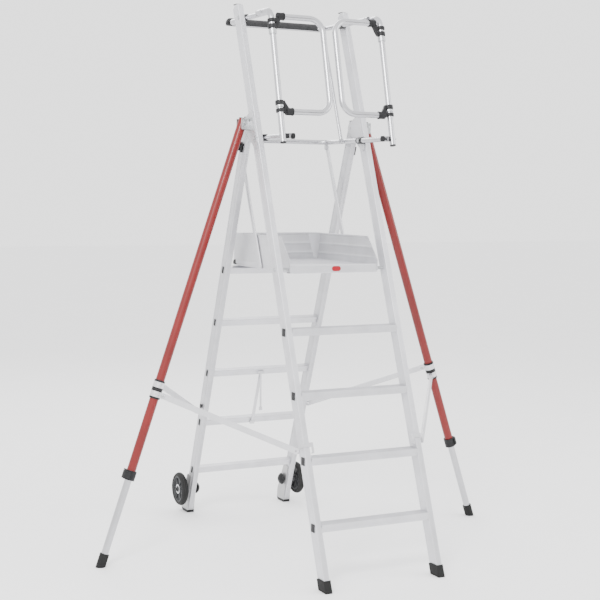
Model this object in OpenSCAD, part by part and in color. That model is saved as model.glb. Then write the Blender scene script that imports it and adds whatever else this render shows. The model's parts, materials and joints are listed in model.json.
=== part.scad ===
// Folding platform step ladder on two wheels, with guard rails, swing gates and
// telescopic side outriggers.
// Origin: on the floor, midway between the feet. +X is the climber's right,
// +Y points from the treads to the wheels, +Z is up. Millimetres.

/* [Frame] */
// Horizontal distance from the origin to each frame's foot line
foot_y = 717; // [690:1:740]
// Forward lean of both frames, as rise over run
lean_slope = 0.3683; // [0.35:0.005:0.38]
// Distance from the middle plane to the centre of each stringer
rail_x = 260; // [250:1:280]
// Stringer profile, across the ladder
rail_t = 25; // [22:1:28]
// Stringer profile, front to back
rail_d = 55; // [50:1:58]
// Wall thickness of the stringer profile
rail_wall = 2; // [1.5:0.5:2.5]
// Height where the lower stringer ends and the guard post begins
splice_z = 1905; // [1880:5:1930]
// Height of the top of the guard posts
post_top_z = 2368; // [2340:1:2400]

/* [Treads and rungs] */
// Height of the lowest tread's centre
tread_z = 234; // [220:1:250]
// Vertical distance between treads
tread_pitch = 250; // [240:1:255]
// Tread height
tread_h = 30; // [26:1:34]
// Height of the lowest rear rung's centre
rung_z = 221; // [215:1:240]
// Vertical distance between rear rungs
rung_pitch = 246; // [240:1:247]
// Side of the square rear rung tube
rung_w = 30; // [26:1:32]

/* [Platform] */
// Height of the deck's upper surface
deck_z = 1251; // [1248:1:1256]
// Toe board height above the deck
toe_h = 121; // [100:1:130]
// Half width of the platform between its toe boards
deck_half_w = 208; // [200:1:208]
// Rear edge of the deck
deck_rear_y = 288; // [270:1:300]

/* [Guard rails] */
// Outer diameter of the guard rail tubes
rail_tube_d = 22; // [20:1:23]
// Outer diameter of gate posts and gates
gate_tube_d = 25; // [22:1:25]
// Height of the upper guard rail
upper_z = 2309; // [2290:1:2315]
// Height of the knee rail
knee_z = 1787; // [1780:1:1795]
// Rear edge centre line of the upper guard rail
upper_rear_y = 312; // [290:1:320]
// Rear edge centre line of the knee rail
knee_rear_y = 235; // [225:1:240]
// Lean of the gate posts, as rise over run
gate_slope = 0.237; // [0.22:0.005:0.25]

/* [Gates] */
// Height of the gates' upper tube
gate_top_z = 2283; // [2270:1:2284]
// Height of the gates' lower tube
gate_bottom_z = 1887; // [1870:1:1900]
// Where the left gate's free edge stands
left_gate_edge_x = -24; // [-60:1:-20]
// Where the right gate's free edge stands
right_gate_edge_x = 34; // [20:1:60]

/* [Wheels] */
// Tyre diameter
wheel_d = 160; // [150:1:164]
// Tyre width
wheel_w = 34; // [28:1:36]
// Height of the wheel axle
axle_z = 120; // [112:1:125]

/* [Outriggers] */
// Outer tube diameter
leg_d = 38; // [36:1:38]
// Inner tube diameter
inner_leg_d = 30; // [26:1:31]
// How far each foot stands from the middle plane
leg_foot_x = 948; // [900:1:970]
// Left foot's place front to back
left_foot_y = -22; // [-60:1:60]
// Right foot's place front to back
right_foot_y = 66; // [-60:1:80]
// Distance along the leg from its pivot to the middle of the brace collars
collar_dist = 1190; // [1150:5:1200]
// Distance along the leg from its pivot to the clamp at the outer tube's end
clamp_dist = 1570; // [1540:5:1600]

/* [Hidden] */
$fn = 48;
seam = 0.05;
pin_gap = 0.05;

// Colours
bright = [0.83, 0.83, 0.85];
grey = [0.55, 0.56, 0.58];
black = [0.06, 0.06, 0.07];
red = [0.66, 0.10, 0.10];

// The model is shifted so that the origin is midway between its foremost and rearmost points
function mid_shift() = (foot_y + (rail_d + 7) / 2 / cos(lean) - axle_y - wheel_d / 2) / 2;

// Frame lines
lean = atan(lean_slope);
rail_out = rail_x + rail_t / 2;
rail_in = rail_x - rail_t / 2;
function front_y(z) = lean_slope * z - foot_y;
function rear_y(z) = foot_y - lean_slope * z;

// Main hinge on the rear rail's centre line
hinge_z = 1845;
hinge_y = rear_y(hinge_z);
hinge_r = 6;
deck_pin_r = 3;
plate_t = 3.5;
plate_out = rail_out + 0.3;
plate_in = rail_in - 0.3 - plate_t;

// Guard rail linkage: pivots on the posts, their arms and the links between them
side_x = rail_in - rail_tube_d / 2 - 0.5;
knee_x = plate_in - rail_tube_d / 2 - 0.5;
upper_pivot_y = 118;
knee_pivot_y = upper_pivot_y - lean_slope * (upper_z - knee_z);
rail_pin_r = 4;
gate_arm = 228;
link_arm = 140;
gate_x = 260;
gate_post_bottom_z = 1762;
drop = upper_z - gate_post_bottom_z;
function gate_y(z) = knee_pivot_y - gate_arm + gate_slope * (z - knee_z);
gate_lean = atan(gate_slope);
gate_bend = 48;
link_d = 15;
link_x = knee_x - rail_tube_d / 2 - link_d / 2 - 0.5;
strut_x = 218;
strut_t = 6;
strut_w = 24;
strut_top = [210, 1762];
strut_low = [-4, 1236];

// Platform pivot on the stringers
deck_pivot_z = 1236;
deck_pivot_y = front_y(deck_pivot_z);

// Wheels and rear feet
axle_y = rear_y(axle_z) + 14;
axle_r = 6;
wheel_x = 314;

// Transport latch on the third rung
latch_x = -6;
latch_z = rung_z + 2 * rung_pitch;
latch_long = 264;
stay_long = 182;

// Outrigger pivot and the leg's rest direction on each side
leg_pivot = [302, 8, 1850];
function foot_point(s) = [leg_foot_x, s < 0 ? left_foot_y : right_foot_y, 0];
function leg_vec(s) = foot_point(s) - leg_pivot;
function leg_len(s) = norm(leg_vec(s));
function leg_yaw(s) = atan2(leg_vec(s)[1], leg_vec(s)[0]);
leg_pin_r = 5;
brace_z = 525;
brace_w = 24;
brace_t = 9;
brace_off = leg_d / 2 + 17;
brace_end_x = 295;
ring_r = leg_d / 2 + 4;
ring_half = 12;

// ---- helpers ----

module centred() {
    translate([0, mid_shift(), 0]) children();
}

module both_sides() {
    children();
    mirror([1, 0, 0]) children();
}

// Draws children in a frame whose Z runs up a front stringer at height z
module on_front(x, z) {
    translate([x, front_y(z), z]) rotate([-lean, 0, 0]) children();
}

// Draws children in a frame whose Z runs up a rear rail at height z
module on_rear(x, z) {
    translate([x, rear_y(z), z]) rotate([lean, 0, 0]) children();
}

module x_rod(r, x1, x2, y, z) {
    translate([x1, y, z]) rotate([0, 90, 0]) cylinder(r = r, h = x2 - x1);
}

// Draws children with local Z along a to b and local Y along side
module frame_between(a, b, side) {
    ez = (b - a) / norm(b - a);
    s = side - (side * ez) * ez;
    ey = s / norm(s);
    ex = cross(ey, ez);
    multmatrix([
        [ex[0], ey[0], ez[0], a[0]],
        [ex[1], ey[1], ez[1], a[1]],
        [ex[2], ey[2], ez[2], a[2]],
        [0, 0, 0, 1]
    ]) children();
}

module rounded_rect(w, h, r) {
    union() {
        square([w - 2 * r, h], center = true);
        square([w, h - 2 * r], center = true);
        for (i = [-1, 1], j = [-1, 1])
            translate([i * (w / 2 - r), j * (h / 2 - r)]) circle(r = r);
    }
}

// Bar outline with round, slightly swollen ends, between two points of the plane
module bar_2d(a, b, w) {
    d = b - a;
    translate(a) circle(d = w + 1);
    translate(b) circle(d = w + 1);
    translate(a) rotate(atan2(d[1], d[0])) translate([0, -w / 2]) square([norm(d), w]);
}

// Solid rod of diameter d along a flat path with rounded corners
module path_rod(pts, bend, d, over = 0) {
    n = len(pts);
    dirs = [for (i = [0:n - 2]) (pts[i + 1] - pts[i]) / norm(pts[i + 1] - pts[i])];
    turn = [for (i = [1:n - 2]) acos(dirs[i - 1] * dirs[i])];
    trim = [for (i = [0:n - 1]) i == 0 || i == n - 1 ? -over : bend * tan(turn[i - 1] / 2)];
    // each straight starts at a corner, so that it meets its bend exactly
    for (i = [0:n - 2]) {
        flip = i == 0 ? -1 : 1;
        a = i == 0 ? pts[1] - dirs[0] * trim[1] : pts[i] + dirs[i] * trim[i];
        long = norm(pts[i + 1] - pts[i]) - trim[i] - trim[i + 1];
        translate([a[0], a[1], 0]) rotate([0, 90, atan2(flip * dirs[i][1], flip * dirs[i][0])])
            cylinder(d = d, h = long);
    }
    for (i = [1:n - 2]) {
        u = dirs[i - 1];
        left = sign(u[0] * dirs[i][1] - u[1] * dirs[i][0]);
        start = pts[i] - u * trim[i];
        centre = start + left * bend * [-u[1], u[0]];
        from = atan2(start[1] - centre[1], start[0] - centre[0]);
        translate([centre[0], centre[1], 0]) rotate(left > 0 ? from : from - turn[i - 1])
            rotate_extrude(angle = turn[i - 1]) translate([bend, 0]) circle(d = d);
    }
}

module path_tube(pts, bend, d, wall) {
    difference() {
        path_rod(pts, bend, d);
        path_rod(pts, bend, d - 2 * wall, 1);
    }
}

// ---- front frame ----

module rail_profile() {
    difference() {
        rounded_rect(rail_t, rail_d, 2);
        rounded_rect(rail_t - 2 * rail_wall, rail_d - 2 * rail_wall, 1);
        for (j = [-1, 1]) translate([0, j * rail_d / 2]) square([7, 1.6], center = true);
        for (i = [-1, 1], j = [-1, 1]) translate([i * rail_t / 2, j * 17]) square([1, 5], center = true);
    }
}

module above(z) {
    intersection() {
        children();
        translate([-1500, -1500, z]) cube([3000, 3000, 3000]);
    }
}

// Lower part of a front side member, up to the splice
module stringer(s) {
    difference() {
        above(10) on_front(s * rail_x, 0)
            translate([0, 0, -40]) linear_extrude(splice_z / cos(lean) + 40) rail_profile();
        x_rod(deck_pin_r, -400, 400, deck_pivot_y, deck_pivot_z);
        x_rod(rail_pin_r, -400, 400, knee_pivot_y, knee_z);
    }
}

module left_stringer() color(bright) stringer(-1);
module right_stringer() color(bright) stringer(1);

// A hollow tread with a ribbed top, seen from the side
module tread_2d() {
    depth = 58;
    difference() {
        union() {
            translate([-depth / 2, -tread_h / 2]) square([depth, tread_h - 1.2]);
            for (i = [0:8]) translate([-depth / 2 + 1 + i * 6.6, tread_h / 2 - 1.3]) square([3.2, 1.3]);
        }
        translate([-depth / 2 + 2, -tread_h / 2 + 2]) square([depth / 2 - 3, tread_h - 5.2]);
        translate([1, -tread_h / 2 + 2]) square([depth / 2 - 3, tread_h - 5.2]);
        translate([-depth / 2, -2]) square([1.6, 5], center = true);
    }
}

module treads() color(bright)
    for (i = [0:3]) {
        z = tread_z + i * tread_pitch;
        translate([-rail_in, front_y(z), z + 1]) rotate([90, 0, 90]) linear_extrude(2 * rail_in) tread_2d();
    }

module front_foot() {
    difference() {
        intersection() {
            on_front(rail_x, 0) translate([0, 0, -40]) linear_extrude(95)
                rounded_rect(rail_t + 7, rail_d + 7, 4);
            translate([0, -foot_y - 200, 0]) cube([500, 400, 47]);
        }
        above(10) on_front(rail_x, 0) translate([-rail_t / 2, -rail_d / 2, -60])
            cube([rail_t, rail_d, 200]);
        for (i = [-2:2]) translate([rail_x, -foot_y + i * 12, 0]) cube([60, 3, 4], center = true);
    }
}

module front_feet() color(black) both_sides() front_foot();

module plug(w, h, t) {
    rotate([90, 0, 90]) linear_extrude(t) rounded_rect(w, h, 3);
}

// Plugs in the treads' ends and caps on the guard posts
module front_plugs() color(black) both_sides() {
    for (i = [0:3]) {
        z = tread_z + i * tread_pitch;
        translate([rail_out, front_y(z), z]) plug(28, 33, 2.5);
    }
    translate([rail_x, front_y(post_top_z) + 5, post_top_z])
        linear_extrude(4) rounded_rect(rail_t - 1, 34, 4);
}

// Guard post with a spigot that reaches down into the stringer
module post(s) {
    top_cut = 34;
    difference() {
        intersection() {
            on_front(s * rail_x, splice_z) union() {
                linear_extrude(600) rail_profile();
                translate([0, 0, -110]) linear_extrude(112) difference() {
                    square([rail_t - 2 * rail_wall - 0.6, rail_d - 2 * rail_wall - 0.6], center = true);
                    square([rail_t - 2 * rail_wall - 4.6, rail_d - 2 * rail_wall - 4.6], center = true);
                }
            }
            translate([-500, -600, 1600]) cube([1000, 1400, post_top_z - 1600]);
        }
        // sloping cut behind the post's top
        translate([s * rail_x - 50, front_y(post_top_z) + 50, post_top_z]) rotate([48, 0, 0])
            translate([0, -top_cut, 0]) cube([100, 100, 60]);
        x_rod(rail_pin_r, -400, 400, upper_pivot_y, upper_z);
    }
}

module left_post() color(bright) post(-1);
module right_post() color(bright) post(1);

// Hinge plates, outside and inside each side of the main hinge
module hinge_plate_2d() {
    a = [front_y(1880), 1880];
    b = [hinge_y + 2, hinge_z];
    c = [front_y(1760), 1760];
    difference() {
        union() {
            bar_2d(a, b, 44);
            bar_2d(b, c, 34);
            bar_2d(a, c, 40);
            polygon([a, b, c]);
        }
        translate([hinge_y, hinge_z]) circle(r = hinge_r);
        translate([knee_pivot_y, knee_z]) circle(r = rail_pin_r);
    }
}

module hinge_plates() color(bright) both_sides()
    for (x = [plate_out, plate_in])
        translate([x, 0, 0]) rotate([90, 0, 90]) linear_extrude(plate_t) hinge_plate_2d();

// Hinge pins and pivot bolts of the fixed frame
module pivot_bolts() color(grey) both_sides() {
    plate_face = plate_out + plate_t;
    x_rod(hinge_r, plate_in, plate_face + 4, hinge_y, hinge_z);
    x_rod(10, plate_face, plate_face + 4, hinge_y, hinge_z);
    for (z = [1775, 1865]) x_rod(7, plate_face, plate_face + 4, front_y(z) + 4, z);
    pivot_bolt(side_x, upper_pivot_y, upper_z, rail_out);
    pivot_bolt(knee_x, knee_pivot_y, knee_z, plate_face);
    x_rod(deck_pin_r, deck_half_w - 25, rail_out + 4, deck_pivot_y, deck_pivot_z);
    x_rod(7, deck_half_w + 7, rail_in, deck_pivot_y, deck_pivot_z);
    x_rod(8, rail_out, rail_out + 4, deck_pivot_y, deck_pivot_z);
}

// Bolt through a post and the tube beside it
module pivot_bolt(tube_x, y, z, outer) {
    inner = tube_x - rail_tube_d / 2 - 1;
    x_rod(rail_pin_r, inner - 4, outer + 4, y, z);
    x_rod(7, inner - 4, inner, y, z);
    x_rod(7, outer, outer + 4, y, z);
}

// Catch plates that hold the front braces: a strap over the stringer with a hook
module brace_hooks() color(bright) both_sides()
    on_front(rail_x, brace_z + 16) {
        y_face = -rail_d / 2;
        translate([-rail_t / 2 - 16, y_face - 3, -9]) cube([rail_t + 19, 3, 18]);
        translate([rail_t / 2, y_face - 3, -9]) cube([3, 40, 18]);
        translate([-rail_t / 2 - 16, y_face - 3, -34]) cube([9, 3, 27]);
        translate([-rail_t / 2 - 16, y_face - 3, -34]) cube([9, 12, 3]);
    }

// Channel brackets that carry the outriggers
module leg_brackets() color(grey)
    for (s = [-1, 1]) leg_side(s) difference() {
        back = plate_out + plate_t;
        translate([0, leg_pivot[1], leg_pivot[2]]) {
            translate([back, -28, -28]) cube([3, 56, 30]);
            for (j = [-1, 1]) translate([back, j * 26 - 2, -28]) cube([40, 4, 46]);
            translate([leg_pivot[0], 0, 0]) rotate([-90, 0, leg_yaw(s)])
                translate([0, 0, -33]) cylinder(r = leg_pin_r, h = 66);
        }
        x_rod(10.5, back - 1, back + 4.5, hinge_y, hinge_z);
        x_rod(7.5, back - 1, back + 4.5, front_y(1865) + 4, 1865);
    }

// ---- rear frame ----

// Rear side member, bored for the main hinge and the axle
module rear_rail(s) {
    difference() {
        intersection() {
            on_rear(s * rail_x, 0) linear_extrude(2100) rail_profile();
            translate([-500, -200, 12]) cube([1000, 1200, 1864]);
        }
        // sloping top that clears the stringer
        on_front(s * rail_x, 1600) translate([-50, -200, 0]) cube([100, 200 + rail_d / 2 + 4, 600]);
        x_rod(hinge_r + pin_gap, -400, 400, hinge_y, hinge_z);
        x_rod(axle_r, -400, 400, axle_y, axle_z);
    }
}

module left_rear_rail() color(bright) rear_rail(-1);
module right_rear_rail() color(bright) rear_rail(1);

// Square tube rungs; the third carries the transport latch's lugs
module rear_rungs() color(bright) {
    on_rear(latch_x, latch_z) {
        for (x = [-15, 12]) translate([x, -rung_w / 2 - 12, -6]) cube([3, 13, 12]);
        translate([-14, -rung_w / 2 - 6, 0]) rotate([0, 90, 0]) cylinder(r = 2, h = 28);
    }
    for (i = [0:4])
        on_rear(-rail_in, rung_z + i * rung_pitch) rotate([0, 90, 0])
            linear_extrude(2 * rail_in) difference() {
                rounded_rect(rung_w, rung_w, 3);
                rounded_rect(rung_w - 4, rung_w - 4, 1.5);
            }
}

// Plugs in the rungs' ends and caps on the rear rails' tops
module rear_plugs() color(black) both_sides() {
    for (i = [0:4]) {
        z = rung_z + i * rung_pitch;
        on_rear(rail_out, z) plug(15, 32, 2.5);
    }
    difference() {
        on_rear(rail_x, 1800) linear_extrude(300) square([rail_t, rail_d], center = true);
        translate([0, -200, 1500]) cube([500, 600, 376]);
        translate([0, -200, 1880]) cube([500, 600, 500]);
        on_front(rail_x, 1600) translate([-50, -200, 0]) cube([100, 200 + rail_d / 2 + 4, 600]);
    }
}

// Moulded boots that carry the axles: a rear wall, two cheeks and a sole
module rear_shoe() {
    difference() {
        translate([rail_x - 17, 0, 0]) rotate([90, 0, 90]) linear_extrude(34) shoe_2d();
        above(12) on_rear(rail_x, 0) translate([-rail_t / 2, -rail_d / 2, -60]) cube([rail_t, rail_d, 400]);
        x_rod(axle_r, -400, 400, axle_y, axle_z);
    }
}

module shoe_2d() {
    heel = foot_y + 6;
    back = rear_y(190) + rail_d / 2 + 6;
    polygon([[foot_y - 34, 0], [heel + 26, 0], [heel + 38, 14], [heel + 30, 60],
        [back + 8, 186], [back, 192], [rear_y(190) - 8, 190], [rear_y(34) - 24, 34], [foot_y - 38, 30]]);
    translate([axle_y, axle_z]) circle(r = 26);
}

module rear_shoes() color(black) both_sides() rear_shoe();

// Spring clips that hold a folded brace, and studs where the rear braces are parked
module brace_clips() color(black) both_sides() {
    on_rear(rail_out, 1750) {
        translate([0, -15, -20]) cube([4, 30, 40]);
        translate([4, -15, -20]) cube([9, 4, 40]);
        translate([4, 11, -20]) cube([9, 4, 40]);
    }
    x_rod(8, rail_out, rail_out + 5, rear_y(brace_z + 24), brace_z + 24);
    x_rod(11, rail_out + 5, rail_out + 8, rear_y(brace_z + 24), brace_z + 24);
}

// Axle stubs with mushroom knobs on the inner side
module axle_knobs() color(black) both_sides() {
    x_rod(axle_r, rail_in - 16, wheel_x + wheel_w / 2 + 3, axle_y, axle_z);
    x_rod(12, rail_in - 16, rail_in - 5, axle_y, axle_z);
    translate([rail_in - 16, axle_y, axle_z]) rotate([0, -90, 0]) rotate_extrude()
        difference() {
            intersection() {
                translate([0, -16]) circle(r = 33);
                translate([0, -20]) square([29, 40]);
            }
            translate([-1, -40]) square([60, 40]);
        }
    x_rod(9, rail_x + 17, wheel_x - wheel_w / 2 + 2.5, axle_y, axle_z);
    x_rod(9, wheel_x + wheel_w / 2 - 2.5, wheel_x + wheel_w / 2 + 6, axle_y, axle_z);
}

// Wheel disc with a raised rim and hub
module wheel_core() {
    rim = wheel_d / 2 - 18;
    rotate_extrude() difference() {
        union() {
            translate([0, -wheel_w / 2 + 3]) square([24, wheel_w - 6]);
            translate([0, -5]) square([rim, 10]);
            translate([rim - 7, -wheel_w / 2 + 4]) square([7, wheel_w - 8]);
        }
        translate([-1, -50]) square([1 + axle_r + pin_gap, 100]);
    }
}

module wheel_tyre() {
    rotate_extrude() intersection() {
        translate([wheel_d / 2 - 18, -wheel_w / 2]) square([18, wheel_w]);
        translate([wheel_d / 2 - 24, 0]) circle(r = 24);
    }
}

module at_wheel(s) {
    translate([s * wheel_x, axle_y, axle_z]) rotate([0, s * 90, 0]) children();
}

module left_wheel() color(grey) at_wheel(-1) wheel_core();
module right_wheel() color(grey) at_wheel(1) wheel_core();
module left_tyre() color(black) at_wheel(-1) wheel_tyre();
module right_tyre() color(black) at_wheel(1) wheel_tyre();

// Transport latch: a bar along the rails and a hanging stay, both on the third rung's pin
module transport_latch() color(bright)
    on_rear(latch_x, latch_z) {
        pin_y = -rung_w / 2 - 6;
        difference() {
            union() {
                translate([-7, pin_y - 3, -latch_long]) cube([14, 5, latch_long]);
                translate([-11, pin_y, 0]) rotate([0, 90, 0]) cylinder(r = 5.5, h = 22);
                translate([0, pin_y, 0]) rotate([-lean, 0, 0]) {
                    translate([-4, -4, -stay_long]) cube([8, 4, stay_long]);
                    translate([-7, -6, -stay_long]) cube([14, 8, 16]);
                }
            }
            translate([-20, pin_y, 0]) rotate([0, 90, 0]) cylinder(r = 2.05, h = 40);
        }
        translate([-11, pin_y - 5, -latch_long - 14]) cube([22, 9, 16]);
    }

// ---- platform ----

// Ribbed hollow deck planks, seen from the side
module deck_2d() {
    front = deck_pivot_y + 16;
    long = deck_rear_y - front;
    cells = 9;
    pitch = long / cells;
    translate([front, deck_z - 25]) difference() {
        union() {
            square([long, 23.5]);
            for (i = [0:2 * cells - 1]) translate([(i + 0.25) * pitch / 2, 23.5]) square([pitch / 4, 1.5]);
        }
        for (i = [0:cells - 1]) translate([i * pitch + 1.5, 2]) square([pitch - 3, 18.5]);
    }
}

module platform_deck() color(bright)
    translate([-deck_half_w, 0, 0]) rotate([90, 0, 90]) linear_extrude(2 * deck_half_w) deck_2d();

// Front extrusion with a screw channel for the pivot bolts
module front_nosing() color(bright)
    translate([-deck_half_w, 0, 0]) rotate([90, 0, 90]) linear_extrude(2 * deck_half_w) difference() {
        union() {
            translate([deck_pivot_y, deck_z - 14]) difference() {
                rounded_rect(30, 36, 4);
                rounded_rect(25, 31, 2);
            }
            translate([deck_pivot_y, deck_pivot_z]) circle(r = 7);
            translate([deck_pivot_y - 1.5, deck_z - 31]) square([3, 34]);
        }
        translate([deck_pivot_y, deck_pivot_z]) circle(r = deck_pin_r + pin_gap);
    }

// Toe boards round three sides, with folded gussets in the rear corners
module toe_boards() color(bright) {
    top = deck_z + toe_h;
    low = deck_z - 25;
    rear = deck_rear_y;
    both_sides() difference() {
        translate([deck_half_w + 0.5, 0, 0]) rotate([90, 0, 90]) linear_extrude(2.5)
            polygon([[deck_pivot_y - 18, low], [rear + 2.5, low], [rear + 2.5, top],
                [deck_pivot_y + 71, top], [deck_pivot_y - 18, top - 100]]);
        x_rod(deck_pin_r + 0.5, 0, 400, deck_pivot_y, deck_pivot_z);
    }
    translate([-deck_half_w - 0.5, rear, low]) cube([2 * deck_half_w + 1, 2.5, top - low]);
    both_sides() translate([0, 0, deck_z + 0.5]) toe_gusset();
}

// A filled fold in a rear corner, wide at the top and narrow at the bottom
module toe_gusset() {
    wide = 46;
    narrow = 12;
    h = toe_h - 1;
    tilt = atan((wide - narrow) / sqrt(2) / h);
    translate([deck_half_w + 0.5, deck_rear_y, 0]) difference() {
        linear_extrude(h) polygon([[0, 0], [-wide, 0], [0, -wide]]);
        rotate([0, 0, 225]) translate([wide / sqrt(2), 0, h]) rotate([0, tilt, 0])
            translate([0, -100, -300]) cube([100, 200, 400]);
    }
}

// Latch arms along both sides of the deck
module latch_arms() color(bright) both_sides()
    translate([deck_half_w + 3, 2, deck_z - 15]) cube([3.2, 262, 16]);

// Hooks that drop over the top rear rung
module deck_hooks() color(black) both_sides()
    side_plane(deck_half_w + 3) linear_extrude(3.5)
        polygon([[264, deck_z + 1], [264, deck_z - 20], [294, deck_z - 20], [294, deck_z - 8],
            [284, deck_z + 1]]);

// ---- guard rails ----

module u_rail(x, rear_end, front_end) {
    path_tube([[-x, front_end], [-x, rear_end], [x, rear_end], [x, front_end]], 60, rail_tube_d, 2);
}

// Upper rail with pins for the gate posts and the link
module upper_rail() color(bright) {
    gate_pivot_y = upper_pivot_y - gate_arm;
    difference() {
        union() {
            translate([0, 0, upper_z]) u_rail(side_x, upper_rear_y, gate_pivot_y - 14);
            both_sides() x_rod(8, side_x - 10.5, side_x + 10.5, gate_pivot_y, upper_z);
            x_rod(8, side_x - 10.5, side_x + 10.5, upper_pivot_y + link_arm, upper_z);
        }
        both_sides() x_rod(rail_pin_r + pin_gap, 0, 400, upper_pivot_y, upper_z);
    }
    both_sides() x_rod(rail_pin_r, side_x, gate_x + gate_tube_d / 2 + 4, gate_pivot_y, upper_z);
    both_sides()
        x_rod(7, gate_x + gate_tube_d / 2 + 1, gate_x + gate_tube_d / 2 + 4, gate_pivot_y, upper_z);
    x_rod(rail_pin_r, link_x - 12, side_x, upper_pivot_y + link_arm, upper_z);
}

// Foam pad clipped over the rear bar, open underneath
module foam_sleeve() color(black)
    translate([0, upper_rear_y, upper_z]) rotate([0, 90, 0]) translate([0, 0, -185])
        linear_extrude(370) difference() {
            circle(r = 23);
            circle(r = rail_tube_d / 2 + 0.8);
            translate([5, -30]) square([40, 60]);
        }

// Moulded saddle round a rail tube at its pivot, with a flat open face towards the post
module pivot_saddle(x, face, y, z) {
    difference() {
        union() {
            translate([x - 1, y - 22, z - 14]) cube([face - x + 1, 44, 28]);
            translate([x, y - 22, z]) rotate([-90, 0, 0]) cylinder(r = rail_tube_d / 2 + 2, h = 44);
        }
        translate([x, y - 60, z]) rotate([-90, 0, 0]) cylinder(r = rail_tube_d / 2, h = 120);
        translate([x, y - 60, z - 6]) cube([60, 120, 12]);
        translate([face, y - 60, z - 60]) cube([60, 120, 120]);
        x_rod(rail_pin_r + 1, 0, 400, y, z);
        x_rod(9, 0, x, y, z);
    }
}

module upper_saddles() color(black) both_sides()
    pivot_saddle(side_x, rail_in - 0.3, upper_pivot_y, upper_z);

// Knee rail with lugs for the struts and blocks for the gate posts
module knee_rail() color(bright) {
    gate_pivot_y = knee_pivot_y - gate_arm;
    lug_x = strut_x - strut_t / 2 - 0.5;
    difference() {
        union() {
            translate([0, 0, knee_z]) u_rail(knee_x, knee_rear_y, gate_pivot_y + 30);
            both_sides() {
                translate([knee_x - 4, gate_pivot_y - 12, knee_z - 11]) cube([8, 44, 22]);
                x_rod(8, knee_x, rail_in - 0.6, gate_pivot_y, knee_z);
                side_plane(lug_x - 5) linear_extrude(5) bar_2d([strut_top[0], knee_z], strut_top, 20);
            }
            x_rod(8, knee_x - 10.5, knee_x + 10.5, knee_pivot_y + link_arm, knee_z);
        }
        both_sides() x_rod(rail_pin_r + pin_gap, 0, 400, knee_pivot_y, knee_z);
        both_sides() x_rod(3.3, 0, 400, gate_pivot_y, knee_z);
    }
    both_sides() {
        x_rod(rail_pin_r, lug_x - 5, strut_x + strut_t / 2 + 3, strut_top[0], strut_top[1]);
        x_rod(7, strut_x + strut_t / 2 + 0.5, strut_x + strut_t / 2 + 4, strut_top[0], strut_top[1]);
    }
    x_rod(rail_pin_r, link_x - 12, knee_x, knee_pivot_y + link_arm, knee_z);
}

module knee_saddles() color(black) both_sides()
    pivot_saddle(knee_x, plate_in - 0.3, knee_pivot_y, knee_z);

// Draws flat work with local x along Y and local y along Z
module side_plane(x) {
    translate([x, 0, 0]) rotate([90, 0, 90]) children();
}

// Gate post: leaning tube, elbow and level tube, set end to end
module gate_posts() color(bright) both_sides()
    translate([gate_x, gate_y(upper_z), upper_z]) {
        r = gate_tube_d / 2;
        trim = gate_bend * tan((90 - gate_lean) / 2);
        top_pin_y = upper_pivot_y - gate_arm - gate_y(upper_z);
        low_pin_y = knee_pivot_y - gate_arm - gate_y(upper_z);
        difference() {
            rotate([-90, 0, 0]) ring(r, r - 2, trim + seam, -60 - gate_y(upper_z));
            x_rod(rail_pin_r + pin_gap, -50, 50, top_pin_y, 0);
        }
        translate([0, trim, -gate_bend]) rotate([0, -90, 0]) rotate([0, 0, gate_lean - 90])
            rotate_extrude(angle = 90 - gate_lean)
            translate([gate_bend, 0]) difference() {
                circle(r = r);
                circle(r = r - 2);
            }
        difference() {
            rotate([180 - gate_lean, 0, 0]) ring(r, r - 2, trim + seam, drop / cos(gate_lean));
            x_rod(3 + pin_gap, -50, 50, low_pin_y, knee_z - upper_z);
        }
    }

// Draws children with Z up a gate post at height z
module on_gate_post(z) {
    translate([gate_x, gate_y(z), z]) rotate([-gate_lean, 0, 0]) children();
}

module gate_post_caps() color(black) both_sides() {
    on_gate_post(gate_post_bottom_z) translate([0, 0, -5]) cylinder(d = gate_tube_d + 1, h = 5);
    translate([gate_x, -60, upper_z]) rotate([-90, 0, 0]) cylinder(d = gate_tube_d + 1, h = 4);
}

// Collars that carry the gates: middle height and length of each
module stop_collars() color(grey) both_sides()
    for (c = [[2216, 20], [1907, 10]]) on_gate_post(c[0]) difference() {
        cylinder(r = gate_tube_d / 2 + 4, h = c[1], center = true);
        cylinder(r = gate_tube_d / 2, h = c[1] + 2, center = true);
    }

// Thin tube that keeps the two rails parallel
module link_tube() color(bright) {
    a = [link_x, knee_pivot_y + link_arm, knee_z];
    b = [link_x, upper_pivot_y + link_arm, upper_z];
    difference() {
        union() {
            frame_between(a, b, [1, 0, 0]) cylinder(d = link_d, h = norm(b - a));
            for (p = [a, b]) x_rod(11, link_x - link_d / 2, link_x + link_d / 2, p[1], p[2]);
        }
        x_rod(rail_pin_r + pin_gap, 0, 400, b[1], b[2]);
        x_rod(rail_pin_r + 0.4, 0, 400, a[1], a[2]);
    }
}

module struts() color(bright) both_sides() {
    difference() {
        side_plane(strut_x - strut_t / 2) linear_extrude(strut_t) bar_2d(strut_low, strut_top, strut_w);
        x_rod(rail_pin_r + pin_gap, 0, 400, strut_top[0], strut_top[1]);
    }
    x_rod(7, strut_x + strut_t / 2, strut_x + strut_t / 2 + 4, strut_low[0], strut_low[1]);
}

// Star knob with its screw
module clamp_knob() {
    y = knee_pivot_y - gate_arm;
    x0 = knee_x - 8;
    x_rod(3, x0, gate_x + gate_tube_d / 2 + 8, y, knee_z);
    x_rod(9, x0 - 6, x0, y, knee_z);
    difference() {
        x_rod(14, x0 - 18, x0 - 6, y, knee_z);
        for (i = [0:5]) translate([0, y, knee_z]) rotate([i * 60, 0, 0])
            x_rod(4.5, 0, 400, 0, 16);
    }
}

module left_knob() color(black) mirror([1, 0, 0]) clamp_knob();
module right_knob() color(black) clamp_knob();

// ---- gates ----

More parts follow.
